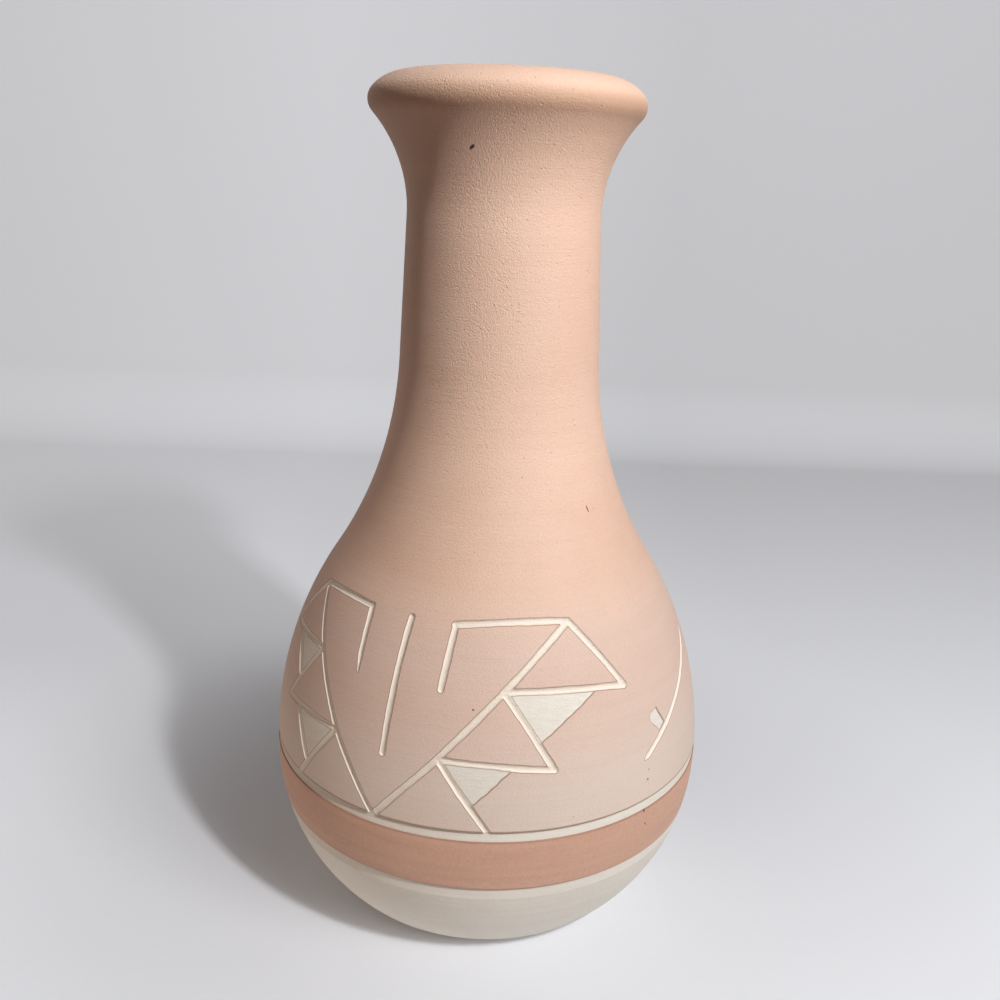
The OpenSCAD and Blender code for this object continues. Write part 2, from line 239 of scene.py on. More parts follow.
def vase_form(sizes):
    """Profile of the vase as tangent arcs, in mm. The arcs of neck and flare have their centres
    outside: such a blend of radius R from a point on the neck's line touches a circle of radius r
    where |arm| ^ 2 - r ^ 2 = 2 R (r - arm . n), with the arm from the circle's centre to the point."""
    f = SimpleNamespace(**{k: getattr(sizes, k) / MM for k in VaseSizes.__annotations__})
    half = f.belly_d / 2
    inset = (f.belly_d - f.foot_d) / 2
    f.belly_r = (inset ** 2 + f.belly_z ** 2) / (2 * inset)
    f.belly_c = np.array([half - f.belly_r, f.belly_z])
    f.shoulder_c = np.array([half - f.shoulder_r, f.belly_z])
    low = np.array([f.neck_low_d / 2, f.neck_low_z])
    top = np.array([f.neck_top_d / 2, f.neck_top_z])
    taper = math.atan2(low[0] - top[0], top[1] - low[1])
    n = np.array([math.cos(taper), math.sin(taper)])

    def blend(arm, r):
        return (arm @ arm - r * r) / (2 * (r - arm @ n))

    neck_r = blend(low - f.shoulder_c, f.shoulder_r)
    neck_c = low + neck_r * n
    join = angle_of(neck_c - f.shoulder_c)
    edge_c = np.array([f.rim_d / 2 - f.rim_edge_r, f.vase_h - f.rim_drop])
    flare_r = blend(top - edge_c, f.rim_edge_r)
    flare_c = top + flare_r * n
    flare = angle_of(edge_c - flare_c)
    lift = f.rim_top_r - f.rim_drop
    dome_c = np.array([edge_c[0] - math.sqrt((f.rim_top_r - f.rim_edge_r) ** 2 - lift ** 2),
                       f.vase_h - f.rim_top_r])
    dome = angle_of(edge_c - dome_c)
    roll_c = np.array([dome_c[0], f.vase_h - f.mouth_roll_r])
    throat = top - f.wall_t * n
    arm = throat - roll_c
    mouth_r = (f.mouth_roll_r ** 2 - arm @ arm) / (2 * (arm @ n + f.mouth_roll_r))
    mouth_c = throat + mouth_r * n
    roll = angle_of(roll_c - mouth_c)
    glaze = math.pi - math.asin((f.vase_h - f.glaze_depth - mouth_c[1]) / mouth_r)
    down = math.pi + taper

    f.slip_z = f.belly_z + f.slip_rise
    f.band_top_z = f.slip_z - f.ring_w
    f.band_low_z = f.band_top_z - f.band_w
    f.slip_a = math.asin((f.slip_z - f.belly_z) / f.shoulder_r)
    f.band_top_a = math.asin((f.band_top_z - f.belly_z) / f.shoulder_r)
    f.band_low_a = math.asin((f.band_low_z - f.belly_z) / f.belly_r)
    f.base_a = math.asin((f.band_low_z - f.bevel_w - f.belly_z) / f.belly_r)

    f.slip = joined(
        arc(f.shoulder_c, f.shoulder_r, f.slip_a, join),
        arc(neck_c, neck_r, math.pi + join, down, -1),
        line(low, top),
        arc(flare_c, flare_r, down, flare, -1),
        arc(edge_c, f.rim_edge_r, flare - math.pi, dome),
        arc(dome_c, f.rim_top_r, dome, math.pi / 2),
        arc(roll_c, f.mouth_roll_r, math.pi / 2, roll),
        arc(mouth_c, mouth_r, roll, glaze))
    f.band = joined(
        arc(f.belly_c, f.belly_r, f.band_low_a, 0),
        arc(f.shoulder_c, f.shoulder_r, 0, f.band_top_a))
    corner_z = f.floor_z + f.floor_round
    arm = f.belly_r - f.wall_t - f.floor_round
    corner_c = np.array([f.belly_c[0] + math.sqrt(arm ** 2 - (f.belly_z - corner_z) ** 2), corner_z])
    corner = angle_of(corner_c - f.belly_c)
    f.inside = joined(
        arc(mouth_c, mouth_r, glaze, down),
        line(throat, low - f.wall_t * n),
        arc(neck_c, neck_r + f.wall_t, down, math.pi + join),
        arc(f.shoulder_c, f.shoulder_r - f.wall_t, join, 0, -1),
        arc(f.belly_c, f.belly_r - f.wall_t, 0, corner, -1),
        arc(corner_c, f.floor_round, corner, -math.pi / 2, -1),
        line([corner_c[0], f.floor_z], [0, f.floor_z]))
    foot_c = np.array([f.belly_c[0] + math.sqrt((f.belly_r - f.foot_round) ** 2
                                               - (f.belly_z - f.foot_lift) ** 2), f.foot_lift])
    stand = np.array([f.stand_d / 2, 0.0])
    under = angle_of(foot_c - stand) - math.asin(f.foot_round / np.linalg.norm(foot_c - stand))
    f.foot = joined(
        line([0, f.recess_h], [f.recess_d / 2 - 2 * f.recess_h, f.recess_h]),
        line([f.recess_d / 2 - 2 * f.recess_h, f.recess_h], [f.recess_d / 2, 0]),
        line([f.recess_d / 2, 0], stand),
        line(stand, foot_c + f.foot_round * np.array([math.sin(under), -math.cos(under)])),
        arc(foot_c, f.foot_round, under - math.pi / 2, angle_of(foot_c - f.belly_c)),
        arc(f.belly_c, f.belly_r, angle_of(foot_c - f.belly_c), f.base_a))
    return f


def on_face(profile, z, t):
    """Point in metres at height z and turn t on a turned face."""
    return around(np.array([np.interp(z / MM, profile[:, 2], profile[:, 1]), z / MM]), t) * MM


def shoulder_spot(f, p):
    """Point on the finished shoulder at a turn in radians and a rise above the slip's edge, and
    the outward direction there."""
    up = math.asin((f.slip_rise + p[1]) / f.shoulder_r)
    r = f.shoulder_c[0] + f.shoulder_r * math.cos(up)
    round_ = np.array([math.sin(p[0]), -math.cos(p[0]), 0.0])
    z = np.array([0.0, 0.0, 1.0])
    return r * round_ + (f.slip_z + p[1]) * z, math.cos(up) * round_ + math.sin(up) * z


# Corners of the ornament as degrees from its middle line and mm above the slip's edge, and how far
# the scraped corners under the upper and the lower fork reach along and down their lines
RIGHT = {"hook": (14.2, 30.5), "brow": (16.1, 43.3), "peak": (50.6, 43.7), "fork": (30.5, 30.7),
         "tip": (64.8, 28.6), "low_fork": (14.9, 16.0), "low_tip": (42.9, 13.9),
         "rib": (28.4, -1.5), "root": (-0.6, -0.4)}
LEFT = {"hook": (-10.9, 30.0), "brow": (-13.2, 43.5), "peak": (-40.6, 42.5), "fork": (-27.0, 30.6),
        "tip": (-53.5, 29.5), "low_fork": (-13.9, 16.0), "low_tip": (-39.1, 15.1),
        "rib": (-28.0, -1.5), "root": (-0.4, -0.4)}
RIGHT_SCRAPES = ((0.735, 0.675), (0.645, 0.6))
LEFT_SCRAPES = ((0.66, 0.62), (0.72, 0.7))
WING = (("hook", "brow"), ("brow", "peak"), ("peak", "fork"), ("fork", "low_fork"),
        ("low_fork", "root"), ("peak", "tip"), ("tip", "fork"), ("fork", "low_tip"),
        ("low_tip", "low_fork"), ("low_fork", "rib"))
BAR = ((1.9, 43.5), (0.9, 14.9))
SIDE = ((107.9, 30.6), (69.1, 10.2))
SIDE_BOW = 0.9
LEAF = ((75.9, 14.9), (78.3, 16.3), (75.5, 20.8), (72.9, 20.3), (72.3, 19.3), (72.8, 17.9))
# Pinholes in the front's slip: degrees, rise and radius in mm
PITS = ((22.8, 27.1, 0.28), (70.3, 7.3, 0.26), (69.8, 5.0, 0.36), (70.2, 3.6, 0.26), (47.4, 2.2, 0.2),
        (72.6, 39.9, 0.18), (72.2, 38.1, 0.18), (71.1, 33.4, 0.18))
# Lengths in mm over which a line's end runs thin, and the share of the width that is left there
SIDE_TAPERS = (5.0, 1.2)
HOOK_TAPER = 4.0
EDGE_TAPER = 2.0
THIN_END = 0.3
# Small waves as a hand leaves them, in a line's place and width and along the edges of a patch: size and
# length in mm, and how the phase changes from one line or patch to the next
LINE_WAVES = ((0.05, 4.3, 1.7), (0.02, 1.7, 2.9))
WIDTH_WAVES = ((0.04, 2.6, 4.1), (0.025, 0.7, 1.0))
PATCH_WAVES = ((0.05, 1.3, 2.3), (0.05, 0.5, 5.1))
# A cut reaches no point that lies deeper than this below its own plane, in mm
REACH_MM = 20
# Bend of a furrow's floor, and the slopes at the edge of a patch and of a pinhole, in mm
FURROW_POWER = 2.4
PATCH_SLOPE = (0.02, -0.24)
PIT_SLOPE = 0.2
# Speck on the neck and scratch on the shoulder: lean in degrees, half sizes in mm
SPECK = (-45, (0.72, 1.5, 0.36))
SCRATCH = (66, (1.0, 3.0, 0.1))
# Dark marks in the band: mm below its upper edge, degrees from the front, lean, half sizes in mm
BAND_MARKS = ((0.3, 42.3, 80, (0.5, 1.0, 0.18)), (4.2, 43.2, 80, (0.4, 1.0, 0.13)))
# Height in mm above the slip's edge up to which the coat carries ornament, and drop in mm from the rim's
# widest line to where the painted shade under the rim is deepest
ORNAMENT_H = 46
RIM_SHADE_DROP = 0.7
# Distances outside an edge, in mm, where mesh lines follow it
LINE_LEVELS = (0.22, 0.0, -0.05, -0.17, -0.4)
PATCH_LEVELS = (0.2, 0.0, -0.22)
PIT_LEVELS = (0.0, -0.14)
# Distances in mm that loose mesh points keep from the edges of lines and patches and from pinholes, and
# inside a patch from each other and from its edge
EDGE_CLEAR = 0.45
PIT_CLEAR = 0.3
PATCH_STEP = 0.4
# A mesh point this near to an edge, in mm, lies on it
ON_EDGE = 0.03
# Distance in mm inside a patch up to which a line's edge is sharp, and mean distance outside all edges
# from which a face is plain slip
SHARP_INSIDE = 0.05
PLAIN_FROM = 0.02


def between(p, q, share):
    """Point at a share of the way from p to q."""
    return tuple(np.asarray(p) + (np.asarray(q) - np.asarray(p)) * share)


def motif():
    """Lines as (start, end, taper at start, taper at end, bow), and scraped patches as corners."""
    lines = [(*BAR, 0.0, 0.0, 0.0), (*SIDE, *SIDE_TAPERS, SIDE_BOW)]
    patches = [LEAF]
    for wing, scrapes in ((RIGHT, RIGHT_SCRAPES), (LEFT, LEFT_SCRAPES)):
        hook_taper = HOOK_TAPER if wing is LEFT else 0.0
        lines += [(wing[a], wing[b], hook_taper if a == "hook" else 0.0, 0.0, 0.0) for a, b in WING]
        forks = (("fork", "tip", "low_tip"), ("low_fork", "low_tip", "rib"))
        for (fork, tip, foot), (along, down) in zip(forks, scrapes):
            along = between(wing[fork], wing[tip], along)
            down = between(wing[fork], wing[foot], down)
            patches.append((wing[fork], along, down))
            if wing is LEFT:
                lines.append((along, down, EDGE_TAPER, EDGE_TAPER, 0.0))
    return lines, patches


def waved(value, waves, t, k, shift=0):
    """A value plus, for each wave, its size times the sine of t over its length plus its phase."""
    for size, long, phase in waves:
        value = value + size * np.sin(t / long + phase * k + shift)
    return value


def line_edge(points, spots, style, half_w, k):
    """Distances of points from the edge of line k, in the plane that its chord and the outward direction
    stand on, as the tool was drawn: |point - nearest point of the chord| less half the width. The spots
    are its two ends and its middle, and the style is the tapers at both ends and the bow."""
    (pa, _), (pb, _), (_, out) = spots
    taper_a, taper_b, bow = style
    half = np.linalg.norm(pb - pa) / 2
    x = unit(pb - pa)
    z = unit(out - (out @ x) * x)
    q = points - (pa + pb) / 2
    u, v, w = q @ x, q @ np.cross(z, x), q @ z
    t = np.clip(u, -half, half)
    width = waved(half_w, WIDTH_WAVES, t, k)
    for end, taper in ((-half, taper_a), (half, -taper_b)):
        if taper:
            width *= THIN_END + (1 - THIN_END) * smooth(t, end, end + taper)
    aside = v - bow * (1 - (t / half) ** 2) - waved(0.0, LINE_WAVES, t, k)
    return np.where(w > -REACH_MM, np.hypot(u - t, aside) - width, FAR_MM)


def patch_edge(points, corners, middle, k):
    """Distances of points from the edge of patch k, in the plane that touches the pot at its middle: the
    largest of the distances from its sides."""
    origin, z = middle
    x = unit(np.cross([0, 0, 1.0], z))
    y = np.cross(z, x)
    q = points - origin
    u, v, w = q @ x, q @ y, q @ z
    pts = np.array([[(c - origin) @ d for d in (x, y)] for c in corners])
    turn_way = np.sign(np.cross(pts[1] - pts[0], pts[2] - pts[0]))
    gap = np.full(len(points), -FAR_MM)
    for i, p in enumerate(pts):
        d = unit(pts[(i + 1) % len(pts)] - p)
        side = turn_way * ((u - p[0]) * d[1] - (v - p[1]) * d[0])
        gap = np.maximum(gap, side + waved(0.0, PATCH_WAVES, u * d[0] + v * d[1], k, i))
    return np.where(w > -REACH_MM, gap, FAR_MM)


def ornament(f, o, points):
    """Distances in mm of surface points from the edges of the incised lines, the scraped patches and
    the pinholes, negative inside. Pinholes are only on the front."""
    flat = points.reshape(-1, 3)
    line_gap, patch_gap, pit_gap = np.full((3, len(flat)), FAR_MM)
    lines, patches = motif()
    for copy in range(o.motif_count):
        start = o.motif_turn + 2 * math.pi * copy / o.motif_count

        def spot(p):
            return shoulder_spot(f, (start + math.radians(p[0]), p[1]))

        for k, (a, b, *style) in enumerate(lines):
            spots = [spot(p) for p in (a, b, between(a, b, 0.5))]
            line_gap = np.minimum(line_gap, line_edge(flat, spots, style, o.line_w / MM / 2, k))
        for k, corners in enumerate(patches):
            middle = spot(np.mean(corners, axis=0))
            patch_gap = np.minimum(patch_gap, patch_edge(flat, [spot(c)[0] for c in corners], middle, k))
        for *place, radius in PITS if copy == 0 else ():
            away = np.linalg.norm(flat - spot(place)[0], axis=1)
            pit_gap = np.minimum(pit_gap, away - radius)
    return np.minimum([line_gap, patch_gap, pit_gap], FAR_MM).reshape(3, *points.shape[:-1])


def cut_depth(o, gaps):
    """Depth in mm of the cuts. A line is a loop tool's furrow with steep walls and a round floor: its
    depth times (1 - across ^ power), with across 0 in the middle and 1 at the edge. A patch has a short
    slope at its edge and a flat floor. A pinhole is round."""
    line_gap, patch_gap, pit_gap = gaps
    across = np.clip(1 + line_gap / (o.line_w / MM / 2), 0, 1)
    furrow = o.line_deep / MM * (1 - across ** FURROW_POWER)
    scrape = o.scrape_deep / MM * smooth(patch_gap, *PATCH_SLOPE)
    hole = o.pit_deep / MM * np.clip(-pit_gap / PIT_SLOPE, 0, 1)
    return np.maximum(np.maximum(furrow, scrape), hole)


def level_lines(values, level, x, y):
    """Points and pairs of points of the lines where values on a grid cross a level: one point on each
    grid edge that the line cuts, by straight interpolation but a tenth of the edge off its ends, and one
    pair or two in each cell."""
    v = values - level
    inside = v < 0
    cut_x, cut_y = inside[:, :-1] != inside[:, 1:], inside[:-1] != inside[1:]
    i, j = np.nonzero(cut_x)
    t = np.clip(v[i, j] / (v[i, j] - v[i, j + 1]), 0.1, 0.9)
    on_x = np.column_stack([x[j] + t * (x[j + 1] - x[j]), y[i]])
    i, j = np.nonzero(cut_y)
    t = np.clip(v[i, j] / (v[i, j] - v[i + 1, j]), 0.1, 0.9)
    on_y = np.column_stack([x[j], y[i] + t * (y[i + 1] - y[i])])
    id_x, id_y = np.full(cut_x.shape, -1), np.full(cut_y.shape, -1)
    id_x[cut_x] = np.arange(len(on_x))
    id_y[cut_y] = len(on_x) + np.arange(len(on_y))
    sides = np.stack([id_x[:-1], id_y[:, 1:], id_x[1:], id_y[:, :-1]], -1).reshape(-1, 4)
    hits = (sides >= 0).sum(1)
    four = sides[hits == 4]
    pairs = np.concatenate([np.sort(sides[hits == 2], 1)[:, 2:], four[:, :2], four[:, 2:]])
    return np.concatenate([on_x, on_y]), pairs


def staggered(step, wide, tall):
    """Points of a triangular lattice inside a rectangle, clear of its border. Its rows lie about 0.87 of
    a step apart."""
    rows = max(2, round(tall / (step * 0.87)))
    cols = max(2, round(wide / step))
    i, j = np.mgrid[1:rows, 1:cols]
    return np.column_stack([((j + 0.5 * (i % 2) - 0.25) * wide / cols).ravel(), (i * tall / rows).ravel()])


def around(rz, t):
    """Points (r sin t, -r cos t, z) of radii and heights carried round the axis to angles t."""
    return np.stack([rz[..., 0] * np.sin(t), -rz[..., 0] * np.cos(t), rz[..., 1] + 0 * t], -1)


def turned(rz, columns, start=0.0):
    """A profile turned about the axis, rows by columns."""
    return around(rz[:, None], start + 2 * math.pi * np.arange(columns) / columns)


def finished(name, points, loops, sizes, creases, look, attributes=None, normals=None):
    """Object from points in mm, the corners of its faces end to end and the number of corners of each
    face. An edge is sharp where both its ends share a bit of creases. Corners with a normal of zero
    keep their own smooth one. The look is (material, slot, node); its slot is not used."""
    material, slot, node = look
    mesh = bpy.data.meshes.new(name)
    mesh.vertices.add(len(points))
    mesh.vertices.foreach_set("co", (points * MM).astype(np.float32).ravel())
    mesh.loops.add(len(loops))
    mesh.loops.foreach_set("vertex_index", loops.astype(np.int32))
    mesh.polygons.add(len(sizes))
    mesh.polygons.foreach_set("loop_start", np.concatenate([[0], np.cumsum(sizes)[:-1]]).astype(np.int32))
    mesh.polygons.foreach_set("use_smooth", np.ones(len(sizes), bool))
    mesh.update(calc_edges=True)
    for key, values in (attributes or {}).items():
        mesh.attributes.new(key, "FLOAT", "POINT").data.foreach_set("value", values.astype(np.float32))
    ends = np.zeros(2 * len(mesh.edges), np.int32)
    mesh.edges.foreach_get("vertices", ends)
    ends = creases[ends.reshape(-1, 2)]
    mesh.attributes.new("sharp_edge", "BOOLEAN", "EDGE").data.foreach_set(
        "value", (ends[:, 0] & ends[:, 1]) != 0)
    if mesh.validate():
        raise RuntimeError(f"{name} has faces that can't be used")
    if normals is not None:
        mesh.normals_split_custom_set(normals.tolist())
    mesh.materials.append(material)
    piece = bpy.data.objects.new(name, mesh)
    bpy.context.scene.collection.objects.link(piece)
    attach(piece, BODY)
    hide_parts(node)
    return piece


def turned_piece(name, outline, columns, ring, corner_rows, look, start=0.0, attributes=None):
    """Piece from a profile turned about the axis. A ring's last row closes on its first one.
    Otherwise the first and last row lie on the axis and become one vertex each. The corner rows are
    sharp."""
    rows, cols = len(outline), columns
    points = turned(outline, columns, start).reshape(-1, 3)
    marks = np.zeros(rows, int)
    marks[corner_rows] = 1 << np.arange(len(corner_rows))
    marks = np.repeat(marks, cols)
    index = np.arange(rows * cols).reshape(rows, cols)
    keep = index.ravel()
    if not ring:
        index = np.maximum(index - (cols - 1), 0)
        index[-1] = index[-2, -1] + 1
        keep = np.concatenate([[0], keep[cols:(rows - 1) * cols + 1]])
    low, high = (index, np.roll(index, -1, 0)) if ring else (index[:-1], index[1:])
    quads = np.stack([low, np.roll(low, -1, 1), np.roll(high, -1, 1), high], -1)
    if ring:
        loops, sizes = quads.reshape(-1), np.full(rows * cols, 4)
    else:
        loops = np.concatenate([quads[0][:, [0, 2, 3]].ravel(), quads[1:-1].ravel(),
                                quads[-1][:, [0, 1, 2]].ravel()])
        sizes = np.repeat([3, 4, 3], [cols, (rows - 3) * cols, cols])
    fields = {key: np.full(len(keep), value) for key, value in (attributes or {}).items()}
    return finished(name, points[keep], loops, sizes, marks[keep], look, fields)


def add(tree, kind, settings=None, sockets=None):
    """Adds a shader node of a kind, sets its settings, and fills its sockets with values or links. A node
    given as a value is linked from its first output in use. The setting stops holds a colour ramp's
    places and colours."""
    made = tree.nodes.new("ShaderNode" + kind)
    for key, value in (settings or {}).items():
        if key == "stops":
            ramp = made.color_ramp
            while len(ramp.elements) < len(value):
                ramp.elements.new(1.0)
            for element, (place, shade) in zip(ramp.elements, value):
                element.position, element.color = place, shade
        else:
            setattr(made, key, value)
    for key, value in (sockets or {}).items():
        if isinstance(value, bpy.types.Node):
            value = next(socket for socket in value.outputs if socket.enabled)
        if isinstance(value, bpy.types.NodeSocket):
            tree.links.new(value, made.inputs[key])
        else:
            made.inputs[key].default_value = value
    return made


def fresh(name):
    """A new node material, its tree and its Object coordinates, in metres. A texture of scale 1000 / n
    on them has features of about n mm."""
    material = bpy.data.materials.new(name)
    material.use_nodes = True
    tree = material.node_tree
    tree.nodes.clear()
    return material, tree, add(tree, "TexCoord").outputs["Object"]


def layered(tree, shade, *layers):
    """A colour under layers that are blended over it one by one, each given as blend type, share and
    colour or pattern. In its colour mode the Mix node takes the share in socket 0 and the two colours
    in sockets 6 and 7."""
    for kind, share, over in layers:
        shade = add(tree, "Mix", {"data_type": "RGBA", "blend_type": kind}, {0: share, 6: shade, 7: over})
    return shade


def bumped(tree, *layers):
    """A normal bent by patterns one after the other, each given as strength, depth in mm and pattern."""
    below = {}
    for strength, depth, pattern in layers:
        normal = add(tree, "Bump", None,
                     {"Strength": strength, "Distance": depth * MM, "Height": pattern, **below})
        below = {"Normal": normal}
    return normal


def surfaced(material, sockets):
    """The material with a shader of these sockets as its surface."""
    shader = add(material.node_tree, "BsdfPrincipled", None, sockets)
    add(material.node_tree, "OutputMaterial", None, {"Surface": shader})
    return material


def in_marks(tree, place, marks, mask=0.0):
    """Joins marks to a mask. A mark is an ellipsoid: middle in metres, lean in the front's plane in
    degrees, half sizes in mm."""
    for middle, lean, half in marks:
        local = add(tree, "Mapping", {"vector_type": "TEXTURE"},
                    {"Vector": place, "Location": middle, "Rotation": (0, math.radians(lean), 0),
                     "Scale": [size * MM for size in half]})
        out_of = add(tree, "VectorMath", {"operation": "LENGTH"}, {0: local})
        inside = add(tree, "MapRange", None, {"Value": out_of, "From Min": 1.1, "From Max": 0.8})
        mask = add(tree, "Math", {"operation": "MAXIMUM"}, {0: inside, 1: mask})
    return mask


# Setting of a Map Range node whose change is S-shaped
EASED = {"interpolation_type": "SMOOTHSTEP"}


def slip_material(colours, low, rim, marks):
    """Engobe sprayed on turned earthenware and fired without glaze: dead matt, with a sandy
    grain under half a millimetre, faint turning lines, and tints that fade into each other down the pot.
    Where the tool has gone through, the clean clay shows. A few dark marks sit on it."""
    material, tree, place = fresh("matt_sprayed_slip")
    height = add(tree, "SeparateXYZ", None, {"Vector": place}).outputs["Z"]
    cloud = add(tree, "TexNoise", None,
                {"Vector": place, "Scale": 1000 / 22, "Detail": 3.0, "Roughness": 0.55})
    grain = add(tree, "TexNoise", None,
                {"Vector": place, "Scale": 1000 / 0.36, "Detail": 3.0, "Roughness": 0.6})
    drawn_out = add(tree, "Mapping", None, {"Vector": place, "Scale": (1, 1, 34)})
    lathe = add(tree, "TexNoise", None,
                {"Vector": drawn_out, "Scale": 1000 / 50, "Detail": 3.0, "Roughness": 0.6})
    pores = add(tree, "TexVoronoi", None, {"Vector": place, "Scale": 1000 / 1.3})

    # The tints change with height, at borders that drift a little
    drift = add(tree, "Math", {"operation": "MULTIPLY_ADD"}, {0: cloud, 1: 12 * MM, 2: height})
    level = add(tree, "MapRange", None, {"Value": drift, "From Min": 46 * MM, "From Max": 126 * MM})
    tint = add(tree, "ValToRGB",
               {"stops": [(0.0, colours.slip_edge), (0.14, colours.slip_edge), (0.36, colours.slip_rose),
                          (0.52, colours.slip_rose), (0.68, colours.slip_shoulder),
                          (1.0, colours.slip_neck)]},
               {"Fac": level})

    # Painted shade: a deeper tone in a band round the height just under the rim's widest line, where the rim
    # shades the flare
    off_rim = add(tree, "Math", {"operation": "SUBTRACT"}, {0: height, 1: rim})
    from_rim = add(tree, "Math", {"operation": "ABSOLUTE"}, {0: off_rim})
    shaded_under_rim = add(tree, "MapRange", EASED, {"Value": from_rim, "From Min": 3.5 * MM, "From Max": 0.6 * MM})

    # A few of the pores are open, and painted shade darkens them, most of all on the neck
    chosen = add(tree, "MapRange", None, {"Value": pores.outputs["Color"], "From Min": 0.8, "From Max": 0.88})
    hole = add(tree, "MapRange", EASED, {"Value": pores, "From Min": 0.24, "From Max": 0.08})
    up = add(tree, "MapRange", None,
             {"Value": height, "From Min": 70 * MM, "From Max": 120 * MM, "To Min": 0.1, "To Max": 0.4})
    open_pore = add(tree, "Math", {"operation": "MULTIPLY"}, {0: chosen, 1: hole})
    pore_shade = add(tree, "Math", {"operation": "MULTIPLY"}, {0: open_pore, 1: up})

    # A scraped patch has a ragged edge and is rubbed one way
    gap = {key: add(tree, "Attribute", {"attribute_name": key}).outputs["Fac"] for key in GAPS}
    ragged = add(tree, "Math", {"operation": "MULTIPLY_ADD"}, {0: grain, 1: 0.12, 2: gap["patch_gap"]})
    in_patch = add(tree, "MapRange", EASED, {"Value": ragged, "From Min": 0.12, "From Max": 0.02})
    swept = add(tree, "Mapping", None,
                {"Vector": place, "Rotation": (0, math.radians(24), 0), "Scale": (1, 1, 4)})
    rubbed = add(tree, "TexNoise", None,
                 {"Vector": swept, "Scale": 1000 / 3.2, "Detail": 4.0, "Roughness": 0.65})
    scraped = layered(tree, colours.clay_scraped, ("OVERLAY", 0.4, rubbed))

    # Painted shade lies dark along the edges of the cuts and along the slip's edge over the bare ring
    beside = add(tree, "Math", {"operation": "ABSOLUTE"}, {0: ragged})
    by_patch = add(tree, "MapRange", None, {"Value": beside, "From Min": 0.2, "From Max": 0.06})
    by_line = add(tree, "MapRange", None, {"Value": gap["line_gap"], "From Min": 0.24, "From Max": 0.05})
    by_ring = add(tree, "MapRange", None,
                  {"Value": height, "From Min": low + 0.5 * MM, "From Max": low + 0.15 * MM})
    by_cut = add(tree, "Math", {"operation": "MAXIMUM"}, {0: by_patch, 1: by_line})
    edge = add(tree, "Math", {"operation": "MAXIMUM"}, {0: by_cut, 1: by_ring})
    edge_shade = add(tree, "Math", {"operation": "MULTIPLY"}, {0: edge, 1: 0.8})
    in_line = add(tree, "MapRange", EASED, {"Value": gap["line_gap"], "From Min": 0.01, "From Max": -0.04})

    # Pinholes, a slanting speck on the neck and a hairline scratch on the shoulder
    pit = add(tree, "MapRange", None,
              {"Value": gap["pit_gap"], "From Min": 0.02, "From Max": -0.12, "To Max": 0.75})
    dark = in_marks(tree, place, marks, pit)
    shade = layered(tree, tint, ("SOFT_LIGHT", 0.16, cloud), ("OVERLAY", 0.16, grain),
                    ("SOFT_LIGHT", 0.1, lathe), ("MULTIPLY", shaded_under_rim, colours.under_rim_shade),
                    ("MULTIPLY", pore_shade, colours.painted_shade), ("MIX", in_patch, scraped),
                    ("MULTIPLY", edge_shade, colours.painted_shade), ("MIX", in_line, colours.clay_cut),
                    ("MIX", dark, colours.pinhole))

    # The neck was left as sprayed and the belly rubbed smoother
    coarse = add(tree, "MapRange", None,
                 {"Value": height, "From Min": 60 * MM, "From Max": 150 * MM, "To Min": 0.45, "To Max": 1.0})
    pore = add(tree, "MapRange", EASED, {"Value": pores, "From Min": 0.06, "From Max": 0.22})
    sandy = add(tree, "Math", {"operation": "MULTIPLY_ADD"}, {0: pore, 1: 0.35, 2: grain})
    scratches = add(tree, "Math", {"operation": "MULTIPLY"}, {0: in_patch, 1: rubbed})
    normal = bumped(tree, (coarse, 0.19, sandy), (0.2, 0.25, lathe), (0.4, 0.25, scratches))
    return surfaced(material, {"Base Color": shade, "Roughness": 0.62, "IOR": 1.5,
                               "Specular IOR Level": 0.5, "Normal": normal})


def clay_material(colours):
    """Cream earthenware, turned, sponged and fired once: chalky, with fine grog and faint rings."""
    material, tree, place = fresh("bisque_cream_clay")
    cloud = add(tree, "TexNoise", None,
                {"Vector": place, "Scale": 1000 / 16, "Detail": 3.0, "Roughness": 0.5})
    grog = add(tree, "TexNoise", None,
               {"Vector": place, "Scale": 1000 / 0.8, "Detail": 3.0, "Roughness": 0.6})
    drawn_out = add(tree, "Mapping", None, {"Vector": place, "Scale": (1, 1, 40)})
    lathe = add(tree, "TexNoise", None,
                {"Vector": drawn_out, "Scale": 1000 / 60, "Detail": 3.0, "Roughness": 0.6})
    shade = layered(tree, colours.clay, ("SOFT_LIGHT", 0.2, cloud), ("OVERLAY", 0.14, grog),
                    ("SOFT_LIGHT", 0.25, lathe))
    normal = bumped(tree, (0.4, 0.14, grog), (0.4, 0.3, lathe))
    return surfaced(material, {"Base Color": shade, "Roughness": 0.8, "IOR": 1.5,
                               "Specular IOR Level": 0.35, "Normal": normal})


